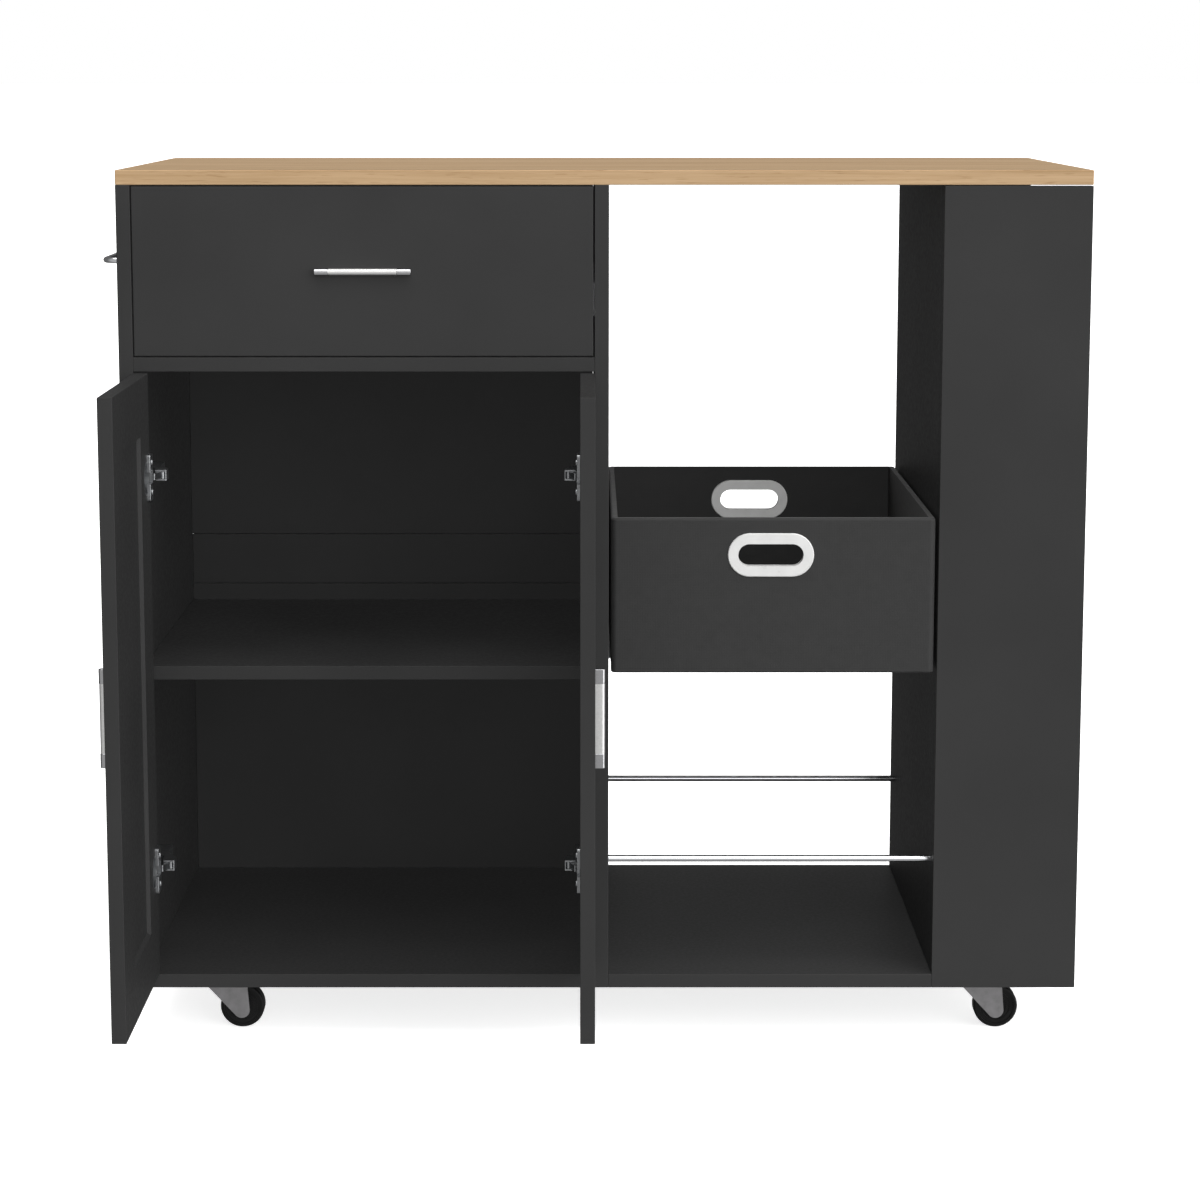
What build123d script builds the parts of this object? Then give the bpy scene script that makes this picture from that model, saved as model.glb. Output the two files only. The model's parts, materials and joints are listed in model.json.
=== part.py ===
"""Kitchen island cart on four casters: drawer, two-door cabinet, storage bin, open bay and side rack.

Everything is laid out in millimetres from the cart's own corner: x runs right from the left side panel's
outer face, y runs back from the plane of the front edges, z runs up from the floor. Each node is moved to
the part's origin, the centre of the bottom of its bounding box, when it is written.
The rest pose has the doors open square to the front and the drawer and the bin pushed in.
"""
from build123d import *
from math import cos, radians, sin
import os

# ---- driving dimensions -------------------------------------------------------------------------
BOARD = 15.0                # carcass board thickness
WIDTH = 1016.0              # carcass and worktop width
WORKTOP_DEPTH = 462.0
WORKTOP_THICKNESS = 15.5
CARCASS_DEPTH = 448.5
CARCASS_HEIGHT = 861.5      # underside of the carcass to underside of the worktop
BACK_THICKNESS = 12.0
CASTER_HEIGHT = 61.5        # floor to underside of the carcass
EASE = 0.6                  # rounding of every painted board edge
GAP = 1.5                   # gap round the inset doors and the drawer front

DIVIDER_X = 498.0           # left face of the divider between cabinet and bay
RACK_X = 861.5              # left face of the wall between bay and rack
DECK_Z = 667.0              # underside of the board between cabinet and drawer
SHELF_TOP_Z = 348.0
SHELF_SETBACK = 26.5
BACK_RAIL_Z = (368.0, 427.5)
RACK_TIERS = 3
ROD_DIAMETER = 7.2          # guard rods across the bay
RACK_ROD_DIAMETER = 6.0
ROD_LIFT = 119.0            # bay guard rods above the bay floor
RACK_ROD_LIFT = 45.0
BAY_ROD_SETBACKS = (35.5, 405.0)

DRAWER_BOARD = 12.0
DRAWER_SIDE_HEIGHT = 122.0
DRAWER_LENGTH = 400.0
SLIDE_START = 40.0                  # front end of the slides, behind the front edges
SLIDE_LENGTH = 350.0
SLIDE_THICKNESS = 12.7
SLIDE_STEEL = 1.2

DOOR_WIDTH = 239.0
DOOR_STILE = 60.0
RECESS_DEPTH = 4.0
RECESS_SLOPE = 2.5
ARM_HALF = 5.6                      # half heights of a hinge's arm and link
LINK_HALF = 3.5
HINGE_HEIGHTS = (134.0, 557.0)      # above the underside of the carcass
CUP_SETBACK = 22.5                  # cup centre from the door's hinge edge
CUP_RADIUS = 17.5
CUP_DEPTH = 12.0
WING_X = (0.7, 19.5)                # hinge wings, from the door's hinge edge
WING_Z = (6.4, 24.8)                # above and below the hinge's centre line
WING_THICKNESS = 3.6
WING_BRIDGE = 2.5                   # strip at the hinge edge that joins the two wings

HANDLE_LENGTH = 100.5
HANDLE_WIDTH = 7.3
HANDLE_PROJECTION = 10.3
FERRULE_LENGTH = 14.8
HANDLE_STUD_SPACING = 76.0
STUD_RADIUS = 2.0
STUD_DEPTH = 10.5                   # into the board
HANDLE_SETBACK = 36.0               # door handle's centre line from the door's free edge

BIN_X = (515.5, 858.2)
BIN_Y = (0.5, 422.5)
BIN_Z = (345.8, 512.0)
BIN_WALL = 7.0
BIN_FLOOR = 6.0
GROMMET_OUTER = (91.0, 46.5)
GROMMET_HOLE = (69.0, 23.5)
GROMMET_DROP = 39.3                 # grommet centre below the bin's rim
GROMMET_SHIFT = -2.5                # grommet centre from the bin's centre line
GROMMET_FLANGE = 1.6

RAIL_DIAMETER = 6.5
RAIL_REACH = 27.5                   # towel rail's outermost point from the side panel
RAIL_HEIGHT = 779.0
RAIL_ENDS = (75.0, 375.0)
RAIL_BEND = 12.0

CASTER_INSET = 94.5                 # swivel axis from the carcass's end
CASTER_SETBACK = 61.0
CASTER_TRAIL = 17.3
WHEEL_RADIUS = 24.0
WHEEL_WIDTH = 17.0
AXLE_RADIUS = 3.0
CHEEK = 2.0                         # sheet thickness of the fork
CHEEK_GAP = 1.6
KINGPIN_RADIUS = 4.0
CASTER_PLATE = (58.0, 46.0, 2.5)
CASTER_SCREWS = (46.0, 34.0)
RUNNING_CLEARANCE = 0.06

# ---- places worked out from them ----------------------------------------------------------------
BASE = CASTER_HEIGHT
TOP = BASE + CARCASS_HEIGHT
BACK_FACE = CARCASS_DEPTH - BACK_THICKNESS
CABINET_X = (BOARD, DIVIDER_X)
CABINET_CENTRE = sum(CABINET_X) / 2
BAY_X = (DIVIDER_X + BOARD, RACK_X)
RACK_INNER_X = (RACK_X + BOARD, WIDTH)
FLOOR_Z = (BASE, BASE + BOARD)
DECK = (BASE + DECK_Z, BASE + DECK_Z + BOARD)
SHELF = (BASE + SHELF_TOP_Z - BOARD, BASE + SHELF_TOP_Z)
FRONT_Z = (DECK[1] + GAP, TOP - GAP)                    # drawer front
DOOR_Z = (FLOOR_Z[1] + GAP, DECK[0] - GAP)
HINGE_EDGE = CABINET_X[0] + GAP
DOOR_PIVOT = (HINGE_EDGE - 0.7, 0.7)                    # vertical axis of the left door
OPEN_ANGLE = -90.0                                      # turns the left door from shut to open
LINK_PIN = (DOOR_PIVOT[0] + 26.5, DOOR_PIVOT[1] + 8.0)
LINK_LENGTH = 16.0
LINK_ANGLE = 245.0                                      # plan direction of the link at rest
DRAWER_Z = (DECK[1] + 18.0, DECK[1] + 18.0 + DRAWER_SIDE_HEIGHT)
DRAWER_X = (CABINET_X[0] + SLIDE_THICKNESS, CABINET_X[1] - SLIDE_THICKNESS)
SLIDE_Z = DRAWER_Z[0] + 40.0
BIN_BOTTOM = BASE + BIN_Z[0]
BIN_TOP = BASE + BIN_Z[1]
CASTER_XS = (CASTER_INSET, WIDTH - CASTER_INSET)
CASTER_YS = (CASTER_SETBACK, CARCASS_DEPTH - CASTER_SETBACK)
CAM_RADIUS = 7.5
CAM_DEPTH = 12.0
CAM_INSET = 24.0
CAM_YS = (40.0, 400.0)
PIN_RADIUS = 2.5
PIN_DEPTH = 8.0
PIN_YS = (70.0, 395.0)
SCREW_RADIUS = 1.75
TOWEL_RAIL_OUTSIDE = -RAIL_REACH
DOOR_FREE_EDGE = DOOR_PIVOT[1] - (HINGE_EDGE + DOOR_WIDTH - DOOR_PIVOT[0])   # y, with the door open
ORIGIN = ((TOWEL_RAIL_OUTSIDE + WIDTH) / 2, (DOOR_FREE_EDGE + WORKTOP_DEPTH) / 2)


# ---- helpers ------------------------------------------------------------------------------------
def block(x, y, z):
    """A plain block between pairs of x, y and z."""
    centre = Pos((x[0] + x[1]) / 2, (y[0] + y[1]) / 2, (z[0] + z[1]) / 2)
    return centre * Box(x[1] - x[0], y[1] - y[0], z[1] - z[0])


def board(x, y, z, ease=EASE):
    """A board with all its edges eased."""
    plain = block(x, y, z)
    return fillet(plain.edges(), ease)


def rod_x(x, y, z, radius):
    """A round bar from x[0] to x[1]."""
    return Pos((x[0] + x[1]) / 2, y, z) * Rot(0, 90, 0) * Cylinder(radius, x[1] - x[0])


def rod_y(x, y, z, radius):
    """A round bar from y[0] to y[1]."""
    return Pos(x, (y[0] + y[1]) / 2, z) * Rot(90, 0, 0) * Cylinder(radius, y[1] - y[0])


def rod_z(x, y, z, radius):
    """A round bar from z[0] to z[1]."""
    return Pos(x, y, (z[0] + z[1]) / 2) * Cylinder(radius, z[1] - z[0])


def mirrored(shape):
    """The same shape on the cabinet's other side."""
    return mirror(shape, about=Plane.YZ.offset(CABINET_CENTRE))


def write(name, *solids):
    """Writes one node, moved to the part's origin."""
    shift = Pos(-ORIGIN[0], -ORIGIN[1], 0)
    moved = [shift * solid for solid in solids]
    node = moved[0] if len(moved) == 1 else Compound(children=moved)
    export_step(node, f"parts/{name}.step")


# ---- carcass ------------------------------------------------------------------------------------
def shelf_pin_bores(x):
    """The bores for the shelf pins, between two x."""
    z = SHELF[0] - PIN_RADIUS
    return [rod_x(x, y, z, PIN_RADIUS) for y in PIN_YS]


def side_panel():
    panel = board((0, BOARD), (0, CARCASS_DEPTH), (BASE, TOP))
    return panel - shelf_pin_bores((BOARD - PIN_DEPTH, BOARD))


def divider_panel():
    panel = board((DIVIDER_X, DIVIDER_X + BOARD), (0, CARCASS_DEPTH), (BASE, TOP))
    return panel - shelf_pin_bores((DIVIDER_X, DIVIDER_X + PIN_DEPTH))


def shelf_pins():
    """Four pins that stand out under the shelf's ends."""
    z = SHELF[0] - PIN_RADIUS
    reach = 9.0
    left = (CABINET_X[0] - PIN_DEPTH, CABINET_X[0] + reach)
    right = (CABINET_X[1] - reach, CABINET_X[1] + PIN_DEPTH)
    return [rod_x(x, y, z, PIN_RADIUS) for x in (left, right) for y in PIN_YS]


def cam_places(x):
    """Plan positions of the cam locks under a board that spans two x."""
    return [(end, y) for end in (x[0] + CAM_INSET, x[1] - CAM_INSET) for y in CAM_YS]


def cam_bores(x, underside):
    z = (underside, underside + CAM_DEPTH + 0.2)
    return [rod_z(px, py, z, CAM_RADIUS + 0.1) for px, py in cam_places(x)]


def cam_locks():
    """Slotted discs that draw the boards together, seen only from below."""
    discs = []
    for x, underside in ((CABINET_X, BASE), (BAY_X, BASE), (CABINET_X, DECK[0])):
        for px, py in cam_places(x):
            disc = rod_z(px, py, (underside, underside + CAM_DEPTH), CAM_RADIUS)
            slot = block((px - 5, px + 5), (py - 0.8, py + 0.8), (underside, underside + 2))
            discs.append(disc - slot)
    return discs


def caster_places():
    """Plan positions of the four swivel axes."""
    return [(x, y) for x in CASTER_XS for y in CASTER_YS]


def caster_screw_places(centre):
    dx, dy = CASTER_SCREWS[0] / 2, CASTER_SCREWS[1] / 2
    return [(centre[0] + sx * dx, centre[1] + sy * dy) for sx in (-1, 1) for sy in (-1, 1)]


def caster_screw_bores(x_place):
    """Pilot holes for the caster screws on one side of the cart."""
    bores = []
    for centre in caster_places():
        if centre[0] != x_place:
            continue
        for px, py in caster_screw_places(centre):
            bores.append(rod_z(px, py, (BASE, BASE + 11), SCREW_RADIUS))
    return bores


def cabinet_floor():
    floor = board(CABINET_X, (0, BACK_FACE), FLOOR_Z)
    return floor - cam_bores(CABINET_X, BASE) - caster_screw_bores(CASTER_XS[0])


def bay_floor():
    floor = board(BAY_X, (0, CARCASS_DEPTH), FLOOR_Z)
    return floor - cam_bores(BAY_X, BASE)


def rack_floor():
    floor = board(RACK_INNER_X, (BOARD, BACK_FACE), FLOOR_Z)
    return floor - caster_screw_bores(CASTER_XS[1])


def drawer_deck():
    deck = board(CABINET_X, (0, BACK_FACE), DECK)
    return deck - cam_bores(CABINET_X, DECK[0])


def back_board(z, side_gap):
    """One of the cabinet's three back pieces."""
    x = (CABINET_X[0] + side_gap, CABINET_X[1] - side_gap)
    return board(x, (BACK_FACE, CARCASS_DEPTH), z)


def write_carcass():
    seam = 0.7
    rail = (BASE + BACK_RAIL_Z[0], BASE + BACK_RAIL_Z[1])
    shelf_x = (CABINET_X[0] + 0.5, CABINET_X[1] - 0.5)
    write("worktop", board((0, WIDTH), (0, WORKTOP_DEPTH), (TOP, TOP + WORKTOP_THICKNESS), 1.0))
    write("side_panel", side_panel())
    write("divider_panel", divider_panel())
    write("cabinet_floor", cabinet_floor())
    write("bay_floor", bay_floor())
    write("drawer_deck", drawer_deck())
    write("lower_back_panel", back_board((BASE, rail[0] - seam), 0.3))
    write("back_rail", back_board(rail, 1.0))
    write("upper_back_panel", back_board((rail[1] + seam, TOP), 0.3))
    write("cabinet_shelf", board(shelf_x, (SHELF_SETBACK, BACK_FACE - 0.5), SHELF))
    write("shelf_pins", *shelf_pins())
    write("cam_locks", *cam_locks())


# ---- side rack, guard rods and towel rail -------------------------------------------------------
def tier_heights():
    """Top faces of the rack floor and of the tiers above it."""
    pitch = (CARCASS_HEIGHT - BOARD) / (RACK_TIERS + 1)
    return [FLOOR_Z[1] + i * pitch for i in range(RACK_TIERS + 1)]


def rack_guard_rods():
    """One rod along the open side of each level, between the rack's front and back."""
    x = WIDTH - 10.0
    return [rod_y(x, (BOARD, BACK_FACE), top + RACK_ROD_LIFT, RACK_ROD_DIAMETER / 2)
            for top in tier_heights()]


def write_rack():
    write("rack_wall", board((RACK_X, RACK_X + BOARD), (BOARD, CARCASS_DEPTH), (BASE, TOP)))
    write("rack_front_panel", board((RACK_X, WIDTH), (0, BOARD), (BASE, TOP - 1.0)))
    write("rack_back_panel", board(RACK_INNER_X, (BACK_FACE, CARCASS_DEPTH), (BASE, TOP)))
    write("rack_floor", rack_floor())
    for name, top in zip(("lower", "middle", "upper"), tier_heights()[1:]):
        write(f"rack_tier_{name}", board(RACK_INNER_X, (BOARD, BACK_FACE), (top - BOARD, top)))
    write("rack_guard_rods", *rack_guard_rods())


def bay_guard_rods():
    z = FLOOR_Z[1] + ROD_LIFT
    return [rod_x(BAY_X, y, z, ROD_DIAMETER / 2) for y in BAY_ROD_SETBACKS]


def towel_rail():
    """A round bar bent out of the side panel and back into it."""
    x = -(RAIL_REACH - RAIL_DIAMETER / 2)
    z = BASE + RAIL_HEIGHT
    corners = [(0, RAIL_ENDS[0], z), (x, RAIL_ENDS[0], z), (x, RAIL_ENDS[1], z), (0, RAIL_ENDS[1], z)]
    path = FilletPolyline(*corners, radius=RAIL_BEND)
    section = Plane(origin=corners[0], z_dir=(-1, 0, 0)) * Circle(RAIL_DIAMETER / 2)
    return sweep(section, path=path)


# ---- bar handle ---------------------------------------------------------------------------------
def handle_bar(length, width, projection):
    """A stretch of the grip along x, rounded at the front and flat where it meets the board."""
    bar = block((-length / 2, length / 2), (-projection, 0), (-width / 2, width / 2))
    front = bar.edges().filter_by(Axis.X).group_by(Axis.Y)[0]
    return fillet(front, width / 2 - 0.15)


def bar_handle():
    """The pull along x about the origin: a brushed grip between two slightly thicker ferrules."""
    grip = handle_bar(HANDLE_LENGTH - 2, HANDLE_WIDTH - 0.6, HANDLE_PROJECTION - 0.4)
    handle = grip
    for side in (-1, 1):
        ferrule = handle_bar(FERRULE_LENGTH, HANDLE_WIDTH, HANDLE_PROJECTION)
        ferrule = fillet(ferrule.faces().sort_by(Axis.X)[0].edges(), 0.5)
        ferrule = fillet(ferrule.faces().sort_by(Axis.X)[-1].edges(), 0.5)
        handle += Pos(side * (HANDLE_LENGTH - FERRULE_LENGTH) / 2, 0, 0) * ferrule
    for side in (-1, 1):
        handle -= rod_y(side * HANDLE_STUD_SPACING / 2, (-6, 0), 0, STUD_RADIUS)
    return handle


def handle_studs():
    """Two threaded studs, let into the handle and into blind holes in the board."""
    return [rod_y(side * HANDLE_STUD_SPACING / 2, (-6, STUD_DEPTH), 0, STUD_RADIUS) for side in (-1, 1)]


def handle_bores():
    depth = (0, STUD_DEPTH + 0.5)
    return [rod_y(side * HANDLE_STUD_SPACING / 2, depth, 0, STUD_RADIUS) for side in (-1, 1)]


# ---- drawer and its slides ----------------------------------------------------------------------
def drawer_handle_place():
    return Pos(CABINET_CENTRE, 0, (FRONT_Z[0] + FRONT_Z[1]) / 2)


def drawer_front():
    x = (CABINET_X[0] + GAP, CABINET_X[1] - GAP)
    front = board(x, (0, BOARD), FRONT_Z)
    return front - [drawer_handle_place() * bore for bore in handle_bores()]


def slide_section(web, flange, half_height, mouth):
    """Profile of one slide member, in distance from the panel and height. mouth tells its open side."""
    height = (SLIDE_Z - half_height, SLIDE_Z + half_height)
    inside = (height[0] + SLIDE_STEEL, height[1] - SLIDE_STEEL)
    outer = (min(web, flange), max(web, flange))
    hollow = (web + SLIDE_STEEL, flange + 1) if mouth > 0 else (flange - 1, web - SLIDE_STEEL)
    return outer, height, hollow, inside


def slide_member(web, flange, half_height, mouth):
    """A channel of bent steel, on the left panel."""
    outer, height, hollow, inside = slide_section(web, flange, half_height, mouth)
    length = (SLIDE_START, SLIDE_START + SLIDE_LENGTH)
    face = CABINET_X[0]
    channel = block((face + outer[0], face + outer[1]), length, height)
    return channel - block((face + hollow[0], face + hollow[1]), (0, CARCASS_DEPTH), inside)


def write_drawer():
    sides_y = (BOARD, BOARD + DRAWER_LENGTH)
    back_y = (sides_y[1] - DRAWER_BOARD, sides_y[1])
    inner_x = (DRAWER_X[0] + DRAWER_BOARD, DRAWER_X[1] - DRAWER_BOARD)
    left_side = board((DRAWER_X[0], inner_x[0]), sides_y, DRAWER_Z)
    write("drawer_front", drawer_front())
    write("drawer_side_left", left_side)
    write("drawer_side_right", mirrored(left_side))
    write("drawer_back", board(inner_x, back_y, DRAWER_Z))
    write("drawer_bottom", board(inner_x, (BOARD, back_y[0]), (DRAWER_Z[0] + 6, DRAWER_Z[0] + 12)))
    write("drawer_handle", drawer_handle_place() * bar_handle())
    write("drawer_handle_studs", *[drawer_handle_place() * stud for stud in handle_studs()])
    members = {
        "outer": slide_member(0, 7.0, 17.5, 1),
        "middle": slide_member(2.2, 10.0, 15.4, 1),
        "inner": slide_member(SLIDE_THICKNESS, 5.0, 13.3, -1),
    }
    for name, member in members.items():
        write(f"slide_{name}_left", member)
        write(f"slide_{name}_right", mirrored(member))


# ---- doors and cup hinges -----------------------------------------------------------------------
def recess(face_y, floor_y):
    """The sunk panel with sloping edges, from one face of the door down to its floor."""
    x = (HINGE_EDGE + DOOR_WIDTH / 2, DOOR_WIDTH - 2 * DOOR_STILE)
    z = (sum(DOOR_Z) / 2, DOOR_Z[1] - DOOR_Z[0] - 2 * DOOR_STILE)
    mouth = Plane(origin=(x[0], face_y, z[0]), x_dir=(1, 0, 0), z_dir=(0, -1, 0))
    floor = Plane(origin=(x[0], floor_y, z[0]), x_dir=(1, 0, 0), z_dir=(0, -1, 0))
    wide = mouth * Rectangle(x[1], z[1])
    narrow = floor * Rectangle(x[1] - 2 * RECESS_SLOPE, z[1] - 2 * RECESS_SLOPE)
    return loft([wide, narrow])


def door_handle_place():
    """The door handle stands upright near the free edge of the shut left door."""
    x = HINGE_EDGE + DOOR_WIDTH - HANDLE_SETBACK
    return Pos(x, 0, sum(DOOR_Z) / 2) * Rot(0, 90, 0)


def hinge_centres():
    """Centres of the hinge cups on the shut left door: x and z."""
    return [(HINGE_EDGE + CUP_SETBACK, BASE + height) for height in HINGE_HEIGHTS]


def wing_screw_places(z):
    middle = sum(WING_Z) / 2
    return [(HINGE_EDGE + sum(WING_X) / 2, z + side * middle) for side in (-1, 1)]


def shut_door():
    door = board((HINGE_EDGE, HINGE_EDGE + DOOR_WIDTH), (0, BOARD), DOOR_Z)
    door -= recess(0, RECESS_DEPTH)
    door -= recess(BOARD, BOARD - RECESS_DEPTH)
    door -= [door_handle_place() * bore for bore in handle_bores()]
    for x, z in hinge_centres():
        door -= rod_y(x, (BOARD - CUP_DEPTH - 0.1, BOARD), z, CUP_RADIUS + 0.1)
        for sx, sz in wing_screw_places(z):
            door -= rod_y(sx, (BOARD - 8, BOARD), sz, SCREW_RADIUS)
    return door


def shut_hinge_cup(x, z):
    """A steel cup let flush into the shut left door, with a raised plate whose two wings take its screws."""
    cup = rod_y(x, (BOARD - CUP_DEPTH, BOARD), z, CUP_RADIUS)
    cup -= rod_y(x, (BOARD - CUP_DEPTH + 0.6, BOARD + 1), z, CUP_RADIUS - 0.8)
    wing_x = (HINGE_EDGE + WING_X[0], HINGE_EDGE + WING_X[1])
    plate_y = (BOARD, BOARD + WING_THICKNESS)
    plate = block(wing_x, plate_y, (z - WING_Z[1], z + WING_Z[1]))
    plate = fillet(plate.edges().filter_by(Axis.Y), 3.0)
    plate = fillet(plate.faces().sort_by(Axis.Y)[-1].edges(), 0.8)
    gap_x = (wing_x[0] + WING_BRIDGE, wing_x[1] + 1)
    cup += plate - block(gap_x, (BOARD - 1, BOARD + WING_THICKNESS + 1), (z - WING_Z[0], z + WING_Z[0]))
    for sx, sz in wing_screw_places(z):
        cup -= rod_y(sx, (BOARD, BOARD + WING_THICKNESS), sz, SCREW_RADIUS)
    return cup


def shut_door_fixings():
    """The studs of the handle and the screws of the hinge wings."""
    fixings = [door_handle_place() * stud for stud in handle_studs()]
    under_head = BOARD + WING_THICKNESS
    for x, z in hinge_centres():
        for sx, sz in wing_screw_places(z):
            head = rod_y(sx, (under_head, under_head + 1.4), sz, 3.2)
            head = fillet(head.edges().sort_by(Axis.Y)[-1], 0.9)
            fixings.append(head + rod_y(sx, (BOARD - 7, under_head), sz, SCREW_RADIUS))
    return fixings


def opened(shape):
    """A piece of the shut left door, turned to its rest place."""
    return shape.rotate(Axis((DOOR_PIVOT[0], DOOR_PIVOT[1], 0), (0, 0, 1)), OPEN_ANGLE)


def hinge_arm(z):
    """The fixed arm of a left hinge: a cranked body that ends in two cheeks and the link's pin."""
    face = CABINET_X[0]
    outline = [(19, 5), (32, 5), (32, 20), (21, 38), (21, 74), (6, 74), (6, 34), (19, 24)]
    points = [(face + u, y) for u, y in outline]
    plan = make_face(Polyline(*points, close=True))
    arm = Pos(0, 0, z - ARM_HALF) * extrude(plan, 2 * ARM_HALF)
    arm = fillet(arm.edges().filter_by(Axis.Z).group_by(Axis.Y)[0], 1.2)
    slot = block((face + 5, face + 30.8), (3, 13), (z - LINK_HALF - 0.4, z + LINK_HALF + 0.4))
    pin = rod_z(LINK_PIN[0], LINK_PIN[1], (z - ARM_HALF + 0.6, z + ARM_HALF - 0.6), 1.5)
    return arm - slot + pin


def hinge_mount_plate(z):
    """The plate between a hinge arm and the panel, with a wing above and below for its screws."""
    face = CABINET_X[0]
    seat = block((face, face + 6), (33, 73), (z - ARM_HALF, z + ARM_HALF))
    wings = block((face, face + 2.5), (40, 58), (z - 24, z + 24))
    return seat + fillet(wings.edges().filter_by(Axis.X), 4.0)


def hinge_link(z):
    """The moving link of a left hinge, from the arm's pin towards the cup."""
    direction = (cos(radians(LINK_ANGLE)), sin(radians(LINK_ANGLE)))
    tip = (LINK_PIN[0] + LINK_LENGTH * direction[0], LINK_PIN[1] + LINK_LENGTH * direction[1])
    height = (z - LINK_HALF, z + LINK_HALF)
    strap = Rot(0, 0, LINK_ANGLE) * block((0, LINK_LENGTH), (-1.2, 1.2), height)
    link = Pos(LINK_PIN[0], LINK_PIN[1], 0) * strap
    link += rod_z(LINK_PIN[0], LINK_PIN[1], height, 3.0)
    link += rod_z(tip[0], tip[1], height, 1.2)
    return link - rod_z(LINK_PIN[0], LINK_PIN[1], height, 1.5 + RUNNING_CLEARANCE)


def write_doors():
    door = opened(shut_door())
    handle = opened(door_handle_place() * bar_handle())
    cups = [opened(shut_hinge_cup(x, z)) for x, z in hinge_centres()]
    fixings = [opened(fixing) for fixing in shut_door_fixings()]
    heights = [BASE + height for height in HINGE_HEIGHTS]
    links = [hinge_link(z) for z in heights]
    arms = [hinge_arm(z) for z in heights]
    plates = [hinge_mount_plate(z) for z in heights]
    write("door_left", door)
    write("door_right", mirrored(door))
    write("door_left_handle", handle)
    write("door_right_handle", mirrored(handle))
    write("hinge_cups_left", *cups)
    write("hinge_cups_right", *[mirrored(cup) for cup in cups])
    write("door_left_fixings", *fixings)
    write("door_right_fixings", *[mirrored(fixing) for fixing in fixings])
    write("hinge_links_left", *links)
    write("hinge_links_right", *[mirrored(link) for link in links])
    write("hinge_arms", *arms, *[mirrored(arm) for arm in arms])
    write("hinge_mount_plates", *plates, *[mirrored(plate) for plate in plates])


# ---- storage bin --------------------------------------------------------------------------------
def stadium(size, y, x, z):
    """A slot-shaped prism along y: size is its length and height."""
    plane = Plane(origin=(x, y[0], z), x_dir=(1, 0, 0), z_dir=(0, 1, 0))
    outline = plane * SlotOverall(size[0], size[1])
    return extrude(outline, y[1] - y[0])


def grommet_centre():
    return sum(BIN_X) / 2 + GROMMET_SHIFT, BIN_TOP - GROMMET_DROP


def grommet_neck():
    return GROMMET_HOLE[0] + 5, GROMMET_HOLE[1] + 5


def bin_shell():
    """An open box of stiff board with rounded corners and a hand hole in front and behind."""
    shell = block(BIN_X, BIN_Y, (BIN_BOTTOM, BIN_TOP))
    shell = fillet(shell.edges().filter_by(Axis.Z), 6.0)
    inner_x = (BIN_X[0] + BIN_WALL, BIN_X[1] - BIN_WALL)
    inner_y = (BIN_Y[0] + BIN_WALL, BIN_Y[1] - BIN_WALL)
    hollow = block(inner_x, inner_y, (BIN_BOTTOM + BIN_FLOOR, BIN_TOP + 1))
    shell -= fillet(hollow.edges().filter_by(Axis.Z), 2.0)
    shell = fillet(shell.faces().sort_by(Axis.Z)[-1].outer_wire().edges(), 3.0)
    shell = fillet(shell.faces().sort_by(Axis.Z)[0].edges(), 2.0)
    x, z = grommet_centre()
    return shell - stadium(grommet_neck(), (BIN_Y[0] - 5, BIN_Y[1] + 5), x, z)


def bin_grommet(outside, inside):
    """A ring clipped through one wall, from its outer face to its inner face."""
    x, z = grommet_centre()
    low, high = min(outside, inside), max(outside, inside)
    ring = stadium(grommet_neck(), (low, high), x, z)
    for y in ((low - GROMMET_FLANGE, low), (high, high + GROMMET_FLANGE)):
        ring += stadium(GROMMET_OUTER, y, x, z)
    ring = fillet(ring.faces().sort_by(Axis.Y)[0].edges(), 1.2)
    ring = fillet(ring.faces().sort_by(Axis.Y)[-1].edges(), 1.2)
    return ring - stadium(GROMMET_HOLE, (low - 5, high + 5), x, z)


def bin_runner():
    """The left steel angle: one leg screwed to the divider, the other under the bin."""
    length = (87.0, 430.0)
    top = BIN_BOTTOM - 0.3
    upright = block((BAY_X[0], BAY_X[0] + 1.0), length, (top - SLIDE_STEEL, top + 17))
    ledge = block((BAY_X[0], BAY_X[0] + 14), length, (top - SLIDE_STEEL, top))
    return upright + ledge


def mirrored_in_bay(shape):
    return mirror(shape, about=Plane.YZ.offset(sum(BAY_X) / 2))


def runner_screws():
    """Flat heads that hold the left runner to the divider."""
    return [rod_x((BAY_X[0] + 1.0, BAY_X[0] + 1.6), y, BIN_BOTTOM + 8, 3.0) for y in (110, 260, 410)]


def write_bin():
    write("bin_shell", bin_shell())
    front = bin_grommet(BIN_Y[0], BIN_Y[0] + BIN_WALL)
    back = bin_grommet(BIN_Y[1], BIN_Y[1] - BIN_WALL)
    write("bin_grommets", front, back)
    runner = bin_runner()
    write("bin_runners", runner, mirrored_in_bay(runner))


# ---- casters ------------------------------------------------------------------------------------
def caster_plate(x, y):
    """The top plate with its bearing dome and riveted kingpin."""
    length, width, thickness = CASTER_PLATE
    underside = BASE - thickness
    plate = block((x - length / 2, x + length / 2), (y - width / 2, y + width / 2), (underside, BASE))
    plate = fillet(plate.edges().filter_by(Axis.Z), 5.0)
    dome = rod_z(x, y, (underside - 4.6, underside), 18.0)
    plate += fillet(dome.edges().group_by(Axis.Z)[0], 1.5)
    plate += rod_z(x, y, (underside - 8.6, underside), KINGPIN_RADIUS)
    plate += rod_z(x, y, (underside - 9.6, underside - 8.1), 6.0)
    for px, py in caster_screw_places((x, y)):
        plate -= rod_z(px, py, (underside, BASE), SCREW_RADIUS + 0.05)
    return plate


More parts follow.
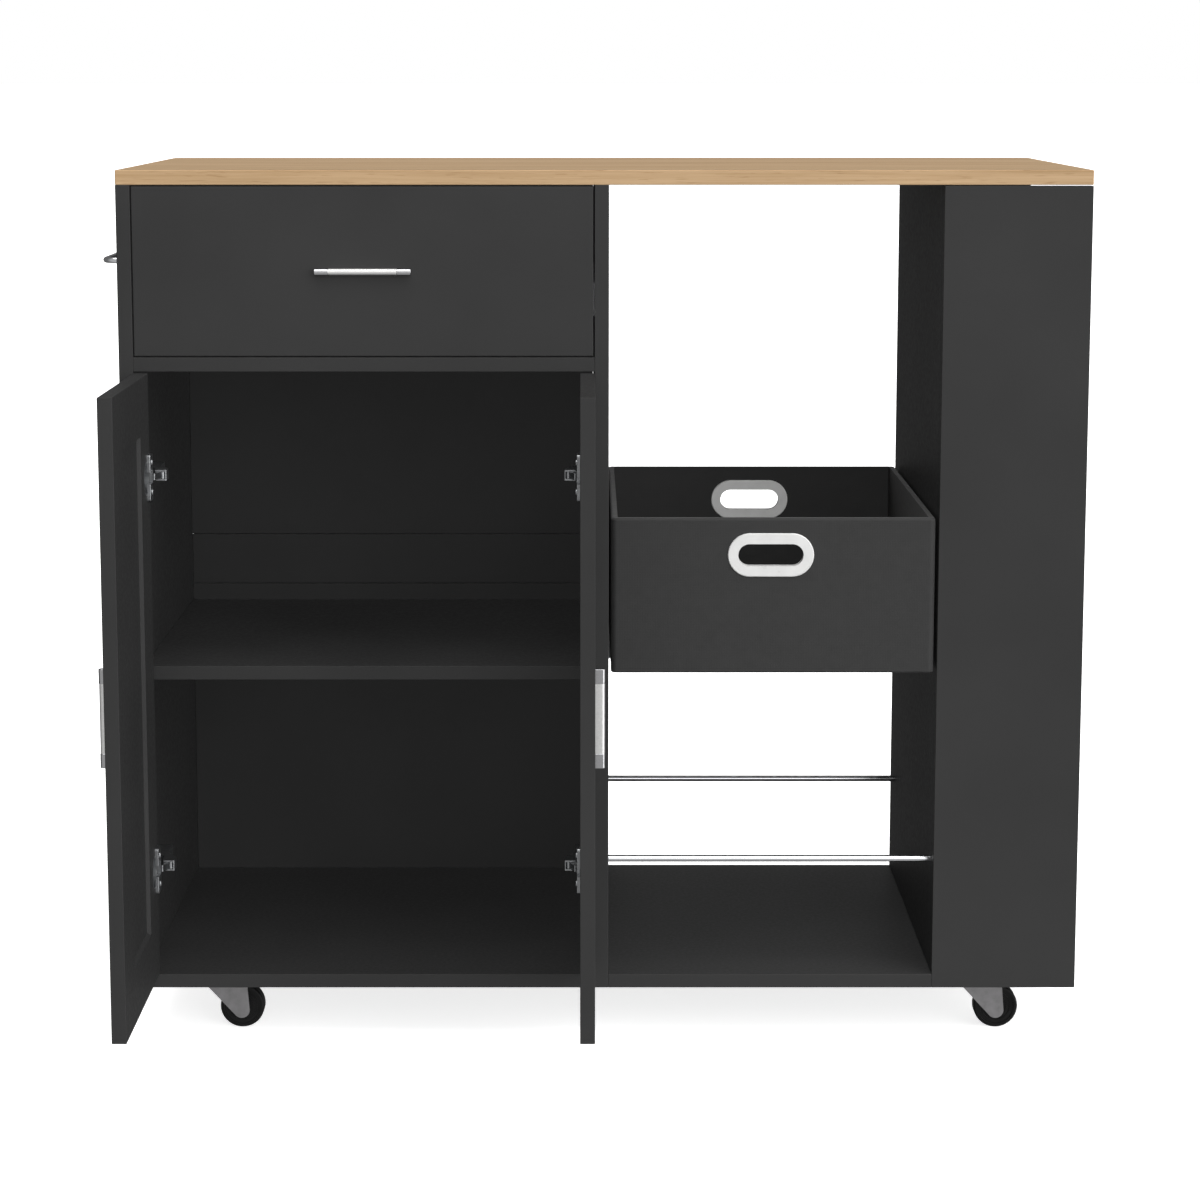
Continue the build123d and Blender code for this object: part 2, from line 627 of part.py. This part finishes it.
def caster_screws():
    """Pan heads under each plate with their threads in the floor board."""
    under_plate = BASE - CASTER_PLATE[2]
    screws = []
    for centre in caster_places():
        for px, py in caster_screw_places(centre):
            head = rod_z(px, py, (under_plate - 1.8, under_plate), 3.4)
            head = fillet(head.edges().sort_by(Axis.Z)[0], 1.0)
            screws.append(head + rod_z(px, py, (under_plate, BASE + 10), SCREW_RADIUS))
    return screws


def fork_cheek(x, y):
    """One side of the fork: wide at the top, running down to a rounded end round the axle."""
    end = Pos(CASTER_TRAIL - 0.5, 20.5) * Circle(8.8)
    head = Pos(1.5, BASE - 11.0) * Rectangle(43.0, 6.0)
    plane = Plane(origin=(x, y[1], 0), x_dir=(1, 0, 0), z_dir=(0, -1, 0))
    outline = plane * make_hull((end + head).edges())
    return extrude(outline, y[1] - y[0])


def caster_fork(x, y):
    """The fork that turns on the kingpin: two cheeks, the bridge between them and the raceway."""
    inner = WHEEL_WIDTH / 2 + CHEEK_GAP
    top = BASE - 8.0
    bridge_x = (x - 20.0, x + 23.0)
    fork = block(bridge_x, (y - inner - CHEEK, y + inner + CHEEK), (top - 2.2, top))
    fork = fillet(fork.edges().filter_by(Axis.Z), 4.0)
    race = rod_z(x, y, (top - 2.2, top), 19.0)
    fork += race
    fork += fork_cheek(x, (y - inner - CHEEK, y - inner))
    fork += fork_cheek(x, (y + inner, y + inner + CHEEK))
    fork -= rod_z(x, y, (top - 4, top + 1), KINGPIN_RADIUS + RUNNING_CLEARANCE)
    return fork - rod_y(x + CASTER_TRAIL, (y - 20, y + 20), WHEEL_RADIUS, AXLE_RADIUS)


def caster_axle(x, y):
    """The pin through both cheeks and the wheel, ground flush with the cheeks."""
    reach = WHEEL_WIDTH / 2 + CHEEK_GAP + CHEEK
    return rod_y(x + CASTER_TRAIL, (y - reach, y + reach), WHEEL_RADIUS, AXLE_RADIUS)


def caster_wheel(x, y):
    """A moulded wheel with a rounded tread and ringed side faces."""
    half = WHEEL_WIDTH / 2
    wheel = Cylinder(WHEEL_RADIUS, WHEEL_WIDTH)
    wheel = fillet(wheel.edges().filter_by(GeomType.CIRCLE), 2.6)
    for side in (-1, 1):
        face = Pos(0, 0, side * half)
        wheel -= face * (Cylinder(20.0, 2.4) - Cylinder(8.0, 3.0))
        for radius in (12.0, 16.0):
            wheel += face * Pos(0, 0, -side * 0.9) * (Cylinder(radius + 0.6, 1.2) - Cylinder(radius - 0.6, 2))
        wheel += face * Pos(0, 0, side * 0.4) * Cylinder(7.0, 1.6)
    wheel -= Cylinder(AXLE_RADIUS + RUNNING_CLEARANCE, WHEEL_WIDTH + 5)
    return Pos(x + CASTER_TRAIL, y, WHEEL_RADIUS) * Rot(90, 0, 0) * wheel


def write_casters():
    places = caster_places()
    names = ("front_left", "rear_left", "front_right", "rear_right")
    write("caster_plates", *[caster_plate(x, y) for x, y in places])
    for name, (x, y) in zip(names, places):
        write(f"caster_fork_{name}", caster_fork(x, y), caster_axle(x, y))
        write(f"wheel_{name}", caster_wheel(x, y))


# ---- the whole cart -----------------------------------------------------------------------------
def write_fittings():
    write("bay_guard_rods", *bay_guard_rods())
    write("towel_rail", towel_rail())
    held = runner_screws()
    write("fixing_screws", *held, *[mirrored_in_bay(screw) for screw in held], *caster_screws())


os.makedirs("parts", exist_ok=True)
write_carcass()
write_rack()
write_fittings()
write_drawer()
write_doors()
write_bin()
write_casters()
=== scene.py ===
"""Looks of the kitchen island cart: materials, studio light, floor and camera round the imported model.

Everything is in metres in the part's own frame: +X right, +Y back, +Z up, z = 0 on the floor.
"""

import json
import math

import bpy
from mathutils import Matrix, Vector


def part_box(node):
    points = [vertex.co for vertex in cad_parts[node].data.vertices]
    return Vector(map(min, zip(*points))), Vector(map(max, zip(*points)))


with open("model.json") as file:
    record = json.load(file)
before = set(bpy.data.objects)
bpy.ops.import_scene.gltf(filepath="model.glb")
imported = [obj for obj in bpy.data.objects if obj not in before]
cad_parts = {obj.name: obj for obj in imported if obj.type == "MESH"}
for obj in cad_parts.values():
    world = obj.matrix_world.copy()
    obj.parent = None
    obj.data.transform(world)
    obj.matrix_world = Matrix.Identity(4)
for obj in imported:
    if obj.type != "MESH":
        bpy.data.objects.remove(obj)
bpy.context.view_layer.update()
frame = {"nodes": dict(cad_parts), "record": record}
nodes = frame["nodes"]

# ---- places worked out from the frame -----------------------------------------------------------
CARCASS_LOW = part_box("side_panel")[0]
LEFT = CARCASS_LOW.x
FRONT = CARCASS_LOW.y
UNDERSIDE = CARCASS_LOW.z

# ---- camera: in front of the cart's left half, a little above the worktop, looking slightly down --
CAMERA_ACROSS = 0.4858
CAMERA_DISTANCE = 3.0985
CAMERA_RISE = 0.9749
CAMERA_PITCH = 0.144
CAMERA_LENS = 89.15
CAMERA_SHIFT = (0.01418, -0.07878)

# ---- handles ------------------------------------------------------------------------------------
SLEEVE_LENGTH = 0.0148
SLEEVE_POLISH = 0.26

# ---- studio -------------------------------------------------------------------------------------
FRONT_FILL = 0.5
BACK_FILL = 0.15
FRONT_LIGHT_AXIS = (0.45, -0.89, 0.0)
FLOOR_HALF = 300.0


# ---- node helpers -------------------------------------------------------------------------------
class Tree:
    """A material's node tree, with short calls for the nodes that the materials below share."""

    def __init__(self, name, colour, roughness, metallic=0.0):
        self.material = bpy.data.materials.new(name)
        self.material.use_nodes = True
        self.nodes = self.material.node_tree.nodes
        self.links = self.material.node_tree.links
        self.shader = self.nodes["Principled BSDF"]
        self.place = self.nodes.new("ShaderNodeTexCoord").outputs["Object"]
        self.set("Base Color", (*colour, 1.0))
        self.set("Roughness", roughness)
        self.set("Metallic", metallic)

    def set(self, socket, value):
        """A constant straight on the shader's socket."""
        self.shader.inputs[socket].default_value = value

    def drive(self, socket, output):
        """A varying value into the shader's socket."""
        self.links.new(output, self.shader.inputs[socket])

    def stretched(self, scale):
        """The object's coordinates scaled along each axis, in features per metre."""
        mapping = self.nodes.new("ShaderNodeMapping")
        mapping.inputs["Scale"].default_value = scale
        self.links.new(self.place, mapping.inputs["Vector"])
        return mapping.outputs["Vector"]

    def noise(self, scale, detail=3.0, roughness=0.5, distortion=0.0):
        """Noise with that many features per metre along each axis."""
        node = self.nodes.new("ShaderNodeTexNoise")
        node.inputs["Scale"].default_value = 1.0
        node.inputs["Detail"].default_value = detail
        node.inputs["Roughness"].default_value = roughness
        node.inputs["Distortion"].default_value = distortion
        self.links.new(self.stretched(scale), node.inputs["Vector"])
        return node.outputs["Fac"]

    def spread(self, value, low, high, start=0.3, end=0.7):
        """Maps a value between start and end to low and high."""
        node = self.nodes.new("ShaderNodeMapRange")
        node.inputs["From Min"].default_value = start
        node.inputs["From Max"].default_value = end
        node.inputs["To Min"].default_value = low
        node.inputs["To Max"].default_value = high
        self.links.new(value, node.inputs["Value"])
        return node.outputs["Result"]

    def ramp(self, value, stops):
        """Colours along a value: stops are (position, colour)."""
        node = self.nodes.new("ShaderNodeValToRGB")
        elements = node.color_ramp.elements
        while len(elements) < len(stops):
            elements.new(0.5)
        for element, (position, colour) in zip(elements, stops):
            element.position = position
            element.color = (*colour, 1.0)
        self.links.new(value, node.inputs["Fac"])
        return node.outputs["Color"]

    def mix(self, kind, amount, first, second):
        """Blends two colours; amount is a number or an output."""
        node = self.nodes.new("ShaderNodeMix")
        node.data_type = "RGBA"
        node.blend_type = kind
        if isinstance(amount, float):
            node.inputs["Factor"].default_value = amount
        else:
            self.links.new(amount, node.inputs["Factor"])
        for socket, colour in ((node.inputs[6], first), (node.inputs[7], second)):
            if isinstance(colour, tuple):
                socket.default_value = (*colour, 1.0)
            else:
                self.links.new(colour, socket)
        return node.outputs[2]

    def maths(self, kind, first, second):
        """One arithmetic step on an output and a number or another output."""
        node = self.nodes.new("ShaderNodeMath")
        node.operation = kind
        self.links.new(first, node.inputs[0])
        if isinstance(second, float):
            node.inputs[1].default_value = second
        else:
            self.links.new(second, node.inputs[1])
        return node.outputs["Value"]

    def bump(self, height, depth, strength=1.0, under=None):
        """Raises the surface by height times depth, in metres, over an earlier bump."""
        node = self.nodes.new("ShaderNodeBump")
        node.inputs["Strength"].default_value = strength
        node.inputs["Distance"].default_value = depth
        self.links.new(height, node.inputs["Height"])
        if under is not None:
            self.links.new(under, node.inputs["Normal"])
        return node.outputs["Normal"]


def grey(value):
    return (value, value, value)


# ---- materials ----------------------------------------------------------------------------------
def painted_board(name, shade):
    """Satin dark grey paint: a fine orange peel, small specks and broad patches a little lighter."""
    tree = Tree(name, grey(shade), 0.5)
    patches = tree.noise((5, 5, 5), detail=4)
    peel = tree.noise((900, 900, 900), detail=2)
    speck = tree.noise((260, 260, 260), detail=3)
    dark, light = grey(shade * 0.93), grey(shade * 1.07)
    tree.drive("Base Color", tree.ramp(patches, [(0.35, dark), (0.65, light)]))
    tree.drive("Roughness", tree.spread(speck, 0.44, 0.54))
    tree.drive("Normal", tree.bump(peel, 0.00003, 0.5, tree.bump(speck, 0.00004, 0.4)))
    tree.set("Specular IOR Level", 0.12)
    return tree.material


def worktop_wood():
    """Light oak under satin lacquer: long fibres, broader growth bands and short dark pores along X."""
    tree = Tree("worktop_wood", (0.40, 0.274, 0.157), 0.42)
    bands = tree.noise((0.9, 22, 22), detail=4, roughness=0.6, distortion=0.6)
    fibres = tree.noise((7, 420, 420), detail=4, roughness=0.65)
    pores = tree.noise((45, 900, 900), detail=2)
    dark, middle, light = (0.335, 0.222, 0.118), (0.40, 0.274, 0.157), (0.445, 0.312, 0.187)
    tone = tree.ramp(bands, [(0.30, dark), (0.5, middle), (0.72, light)])
    grain = tree.ramp(fibres, [(0.32, (0.80, 0.76, 0.70)), (0.62, (1.0, 1.0, 1.0))])
    wood = tree.mix("MULTIPLY", 0.85, tone, grain)
    dots = tree.ramp(pores, [(0.30, (0.62, 0.55, 0.46)), (0.38, (1.0, 1.0, 1.0))])
    tree.drive("Base Color", tree.mix("MULTIPLY", 0.55, wood, dots))
    tree.drive("Roughness", tree.spread(fibres, 0.48, 0.38))
    tree.drive("Normal", tree.bump(fibres, 0.00006, 0.5, tree.bump(pores, 0.00005, 0.4)))
    tree.set("Specular IOR Level", 0.12)
    return tree.material


def chrome_bar():
    """Bright plate with hairline polishing marks round the bar and a breath of haze."""
    tree = Tree("chrome_bar", (0.80, 0.81, 0.83), 0.12, 1.0)
    haze = tree.noise((30, 30, 30), detail=4)
    marks = tree.noise((500, 500, 1500), detail=3)
    tree.drive("Roughness", tree.spread(haze, 0.09, 0.2))
    tree.drive("Base Color", tree.ramp(haze, [(0.3, (0.74, 0.75, 0.77)), (0.7, (0.84, 0.85, 0.87))]))
    tree.drive("Normal", tree.bump(marks, 0.00001, 0.25))
    return tree.material


def plated_steel():
    """Nickel-plated hinge and screw steel: soft stamping waves and small dull spots."""
    tree = Tree("plated_steel", (0.42, 0.43, 0.44), 0.36, 1.0)
    waves = tree.noise((160, 160, 160), detail=3)
    spots = tree.noise((900, 900, 900), detail=2)
    tree.drive("Base Color", tree.ramp(waves, [(0.3, (0.38, 0.39, 0.40)), (0.7, (0.46, 0.47, 0.48))]))
    tree.drive("Roughness", tree.spread(spots, 0.3, 0.42))
    tree.drive("Normal", tree.bump(waves, 0.00002, 0.3))
    return tree.material


def zinc_steel(name, colour, roughness):
    """Zinc-plated sheet: a mottled spangle and faint rolling marks along the sheet."""
    tree = Tree(name, colour, roughness, 0.9)
    mottle = tree.noise((110, 110, 110), detail=5, roughness=0.6)
    rolling = tree.noise((1200, 20, 1200), detail=2)
    dark = tuple(0.84 * part for part in colour)
    light = tuple(min(1.0, 1.1 * part) for part in colour)
    tree.drive("Base Color", tree.ramp(mottle, [(0.3, dark), (0.7, light)]))
    tree.drive("Roughness", tree.spread(mottle, roughness - 0.07, roughness + 0.1))
    tree.drive("Normal", tree.bump(rolling, 0.00002, 0.3))
    return tree.material


def end_sleeves(tree, node, axis):
    """1 over the polished sleeves at the two ends of a handle, 0 over its grip and far from the handle."""
    low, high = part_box(node)
    middle = 0.5 * (low[axis] + high[axis])
    grip = 0.5 * (high[axis] - low[axis]) - SLEEVE_LENGTH
    parts = tree.nodes.new("ShaderNodeSeparateXYZ")
    tree.links.new(tree.place, parts.inputs["Vector"])
    offset = tree.maths("ABSOLUTE", tree.maths("SUBTRACT", parts.outputs[axis], middle), 0.0)
    beyond = tree.maths("GREATER_THAN", offset, grip)
    within = tree.maths("LESS_THAN", offset, grip + 2 * SLEEVE_LENGTH)
    return tree.maths("MULTIPLY", beyond, within)


def brushed_handle():
    """Bright brushed nickel grips with a polished sleeve at each end."""
    tree = Tree("brushed_handle", (0.85, 0.85, 0.84), 0.4, 1.0)
    lines = tree.noise((700, 700, 700), detail=4)
    parts = tree.nodes.new("ShaderNodeSeparateXYZ")
    tree.links.new(tree.place, parts.inputs["Vector"])
    below_drawer_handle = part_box("drawer_handle")[0].z - SLEEVE_LENGTH
    on_drawer = tree.maths("GREATER_THAN", parts.outputs[2], below_drawer_handle)
    on_doors = tree.maths("LESS_THAN", parts.outputs[2], below_drawer_handle)
    across = tree.maths("MULTIPLY", end_sleeves(tree, "drawer_handle", 0), on_drawer)
    upright = tree.maths("MULTIPLY", end_sleeves(tree, "door_left_handle", 2), on_doors)
    sleeve = tree.maths("ADD", across, upright)
    grip_tone = tree.ramp(lines, [(0.3, (0.80, 0.80, 0.79)), (0.7, (0.90, 0.90, 0.89))])
    tree.drive("Base Color", tree.mix("MIX", sleeve, grip_tone, (0.52, 0.52, 0.53)))
    satin = tree.spread(lines, 0.34, 0.5)
    tree.drive("Roughness", tree.maths("SUBTRACT", satin, tree.maths("MULTIPLY", sleeve, SLEEVE_POLISH)))
    tree.drive("Normal", tree.bump(lines, 0.00002, 0.35))
    return tree.material


def wheel_plastic():
    """Black moulded plastic: a fine grain and scuffed patches of uneven shine."""
    tree = Tree("wheel_plastic", grey(0.004), 0.55)
    grain = tree.noise((1100, 1100, 1100), detail=2)
    scuffs = tree.noise((90, 90, 90), detail=5, roughness=0.65)
    tree.drive("Base Color", tree.ramp(scuffs, [(0.35, grey(0.003)), (0.75, grey(0.008))]))
    tree.drive("Roughness", tree.spread(scuffs, 0.34, 0.55))
    tree.drive("Normal", tree.bump(grain, 0.00004, 0.35))
    tree.set("Specular IOR Level", 0.15)
    return tree.material


def white_plastic():
    """Glossy moulded white plastic with a very faint flow pattern."""
    tree = Tree("white_plastic", grey(0.54), 0.3)
    flow = tree.noise((60, 60, 60), detail=3)
    tree.drive("Base Color", tree.ramp(flow, [(0.3, (0.52, 0.52, 0.515)), (0.7, (0.57, 0.57, 0.565))]))
    tree.drive("Roughness", tree.spread(flow, 0.26, 0.36))
    tree.drive("Normal", tree.bump(flow, 0.00005, 0.2))
    return tree.material


def bin_board():
    """Dark grey cloth pressed on stiff board: a tight plain weave."""
    tree = Tree("bin_board", grey(0.022), 0.75)
    threads = []
    for direction in ("X", "Y", "Z"):
        wave = tree.nodes.new("ShaderNodeTexWave")
        wave.bands_direction = direction
        wave.inputs["Scale"].default_value = 1.0
        wave.inputs["Distortion"].default_value = 0.6
        wave.inputs["Detail"].default_value = 1.0
        tree.links.new(tree.stretched((180, 180, 180)), wave.inputs["Vector"])
        threads.append(wave.outputs["Fac"])
    weave = tree.maths("ADD", tree.maths("ADD", threads[0], threads[1]), threads[2])
    slub = tree.noise((140, 140, 140), detail=4)
    tree.drive("Base Color", tree.ramp(slub, [(0.3, grey(0.019)), (0.7, grey(0.025))]))
    tree.drive("Roughness", tree.spread(slub, 0.68, 0.84))
    tree.drive("Normal", tree.bump(weave, 0.00008, 0.3))
    tree.set("Specular IOR Level", 0.3)
    tree.set("Sheen Weight", 0.08)
    return tree.material


def slot_materials():
    """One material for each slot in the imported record."""
    return {
        "worktop_wood": worktop_wood(),
        "painted_board": painted_board("painted_board", 0.0265),
        "drawer_board": painted_board("drawer_board", 0.045),
        "chrome_bar": chrome_bar(),
        "brushed_handle": brushed_handle(),
        "plated_steel": plated_steel(),
        "zinc_steel": zinc_steel("zinc_steel", (0.62, 0.63, 0.64), 0.35),
        "caster_fork_steel": zinc_steel("caster_fork_steel", (0.27, 0.265, 0.27), 0.42),
        "wheel_plastic": wheel_plastic(),
        "bin_board": bin_board(),
        "white_plastic": white_plastic(),
    }


def dress_nodes():
    """Gives every CAD node the material of its slot."""
    materials = slot_materials()
    for part in frame["record"]["subparts"]:
        mesh = nodes[part["node"]].data
        mesh.materials.clear()
        mesh.materials.append(materials[part["material_slot"]])


# ---- studio -------------------------------------------------------------------------------------
def sun(name, azimuth, elevation, spread, strength, shadows=True, glints=True):
    """Soft light from far off: azimuth 0 comes from the front, positive from the right.

    One without shadows reaches inside the cabinet; one without glints isn't mirrored by any surface.
    """
    data = bpy.data.lights.new(name, "SUN")
    data.energy = strength
    data.angle = math.radians(spread)
    data.use_shadow = shadows
    light = bpy.data.objects.new(name, data)
    light.rotation_euler = (math.radians(90 - elevation), 0, math.radians(azimuth))
    light.visible_glossy = glints
    bpy.context.scene.collection.objects.link(light)


def surroundings():
    """White behind the cart, and light that comes mostly from the front and a little from the right."""
    world = bpy.data.worlds.new("studio")
    world.use_nodes = True
    tree = world.node_tree
    background = tree.nodes["Background"]
    background.inputs["Color"].default_value = (1.0, 1.0, 1.0, 1.0)
    direction = tree.nodes.new("ShaderNodeTexCoord").outputs["Generated"]
    facing = tree.nodes.new("ShaderNodeVectorMath")
    facing.operation = "DOT_PRODUCT"
    facing.inputs[1].default_value = FRONT_LIGHT_AXIS
    tree.links.new(direction, facing.inputs[0])
    dome = tree.nodes.new("ShaderNodeMapRange")
    dome.interpolation_type = "SMOOTHSTEP"
    dome.inputs["From Min"].default_value = -0.45
    dome.inputs["From Max"].default_value = 0.45
    dome.inputs["To Min"].default_value = BACK_FILL
    dome.inputs["To Max"].default_value = FRONT_FILL
    tree.links.new(facing.outputs["Value"], dome.inputs["Value"])
    seen = tree.nodes.new("ShaderNodeLightPath").outputs["Is Camera Ray"]
    strength = tree.nodes.new("ShaderNodeMapRange")
    strength.inputs["To Max"].default_value = 1.0
    tree.links.new(seen, strength.inputs["Value"])
    tree.links.new(dome.outputs["Result"], strength.inputs["To Min"])
    tree.links.new(strength.outputs["Result"], background.inputs["Strength"])
    bpy.context.scene.world = world


def floor():
    """A wide pale floor that glows faintly, and that neither lights the cart nor shows in its shine."""
    mesh = bpy.data.meshes.new("floor")
    corners = [(-FLOOR_HALF, -FLOOR_HALF, 0), (FLOOR_HALF, -FLOOR_HALF, 0)]
    corners += [(FLOOR_HALF, FLOOR_HALF, 0), (-FLOOR_HALF, FLOOR_HALF, 0)]
    mesh.from_pydata(corners, [], [(0, 1, 2, 3)])
    ground = bpy.data.objects.new("floor", mesh)
    ground.visible_diffuse = False
    ground.visible_glossy = False
    bpy.context.scene.collection.objects.link(ground)
    tree = Tree("floor_paint", grey(0.9), 0.9)
    tone = tree.noise((1.5, 1.5, 1.5), detail=3)
    tree.drive("Base Color", tree.ramp(tone, [(0.3, grey(0.9)), (0.7, grey(0.92))]))
    tree.set("Specular IOR Level", 0.1)
    tree.set("Emission Color", (1.0, 1.0, 1.0, 1.0))
    tree.set("Emission Strength", 0.62)
    mesh.materials.append(tree.material)


def camera():
    data = bpy.data.cameras.new("camera")
    data.lens = CAMERA_LENS
    data.shift_x, data.shift_y = CAMERA_SHIFT
    eye = bpy.data.objects.new("camera", data)
    eye.location = (LEFT + CAMERA_ACROSS, FRONT - CAMERA_DISTANCE, UNDERSIDE + CAMERA_RISE)
    eye.rotation_euler = (math.pi / 2 - CAMERA_PITCH, 0, 0)
    bpy.context.scene.collection.objects.link(eye)
    bpy.context.scene.camera = eye


bpy.context.scene.view_settings.view_transform = "Standard"
dress_nodes()
surroundings()
sun("key", azimuth=60, elevation=16, spread=64, strength=1.7)
sun("face", azimuth=12, elevation=14, spread=40, strength=0.4)
sun("fill", azimuth=40, elevation=30, spread=60, strength=2.2, shadows=False, glints=False)
sun("lift", azimuth=2, elevation=72, spread=50, strength=1.6)
sun("rear", azimuth=195, elevation=28, spread=60, strength=0.8, glints=False)
floor()
camera()
